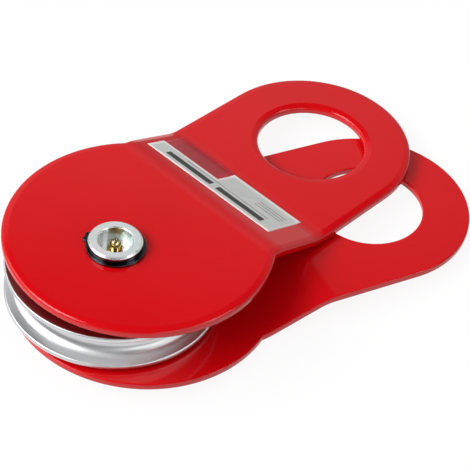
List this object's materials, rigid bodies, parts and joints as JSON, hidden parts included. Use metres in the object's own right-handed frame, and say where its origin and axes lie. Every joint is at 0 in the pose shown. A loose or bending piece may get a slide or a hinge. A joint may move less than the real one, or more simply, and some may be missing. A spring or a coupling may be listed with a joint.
{
  "type": "snatch block",
  "caption": "Snatch block: two joggled side plates with round eyes swing apart on a greased pin, so a rope can be laid over the grooved sheave between them.",
  "frame": {"origin": "on the pin axis, halfway between the two side plates, within 1 mm of the middle of the rope groove", "axes": "+Z along the pin axis towards the nipple end, +X along the lower side plate towards its eye"},
  "size_m": [0.2235, 0.1518, 0.0408],
  "materials": {
    "red_coat": "glossy red powder coat on pressed steel",
    "turned_steel": "fine turned, satin bright",
    "bronze": "machined bearing bronze",
    "washer_steel": "plain ground steel",
    "zinc_plate": "bright zinc plate on turned steel",
    "black_spring_steel": "oiled black spring steel",
    "nipple_brass": "bright turned brass",
    "ball_steel": "polished steel"
  },
  "bodies": {
    "lower_side": {"lower_side_plate": "red_coat", "lower_thrust_washer": "washer_steel"},
    "pin": {"centre_pin": "zinc_plate", "upper_retaining_ring": "black_spring_steel", "lower_retaining_ring": "black_spring_steel", "grease_nipple": "nipple_brass", "nipple_spring": "ball_steel"},
    "wheel": {"sheave": "turned_steel", "sheave_bush": "bronze", "upper_thrust_washer": "washer_steel"},
    "upper_side": {"upper_side_plate": "red_coat"},
    "ball": {"nipple_ball": "ball_steel"}
  },
  "joints": [
    {"name": "pin_turn", "type": "hinge", "parent": "lower_side", "child": "pin", "pos_m": [0, 0, 0], "axis": [0, 0, 1], "continuous": true},
    {"name": "sheave_spin", "type": "hinge", "parent": "pin", "child": "wheel", "pos_m": [0, 0, 0], "axis": [0, 0, 1], "continuous": true},
    {"name": "plate_swing", "type": "hinge", "parent": "pin", "child": "upper_side", "pos_m": [0, 0, 0], "axis": [0, 0, 1], "continuous": true},
    {"name": "ball_push", "type": "slide", "parent": "pin", "child": "ball", "axis": [0, 0, -1], "range_m": [0, 0.0008], "stiffness_N_per_m": 300, "springref_m": -0.001, "deforming": ["nipple_spring"]}
  ]
}
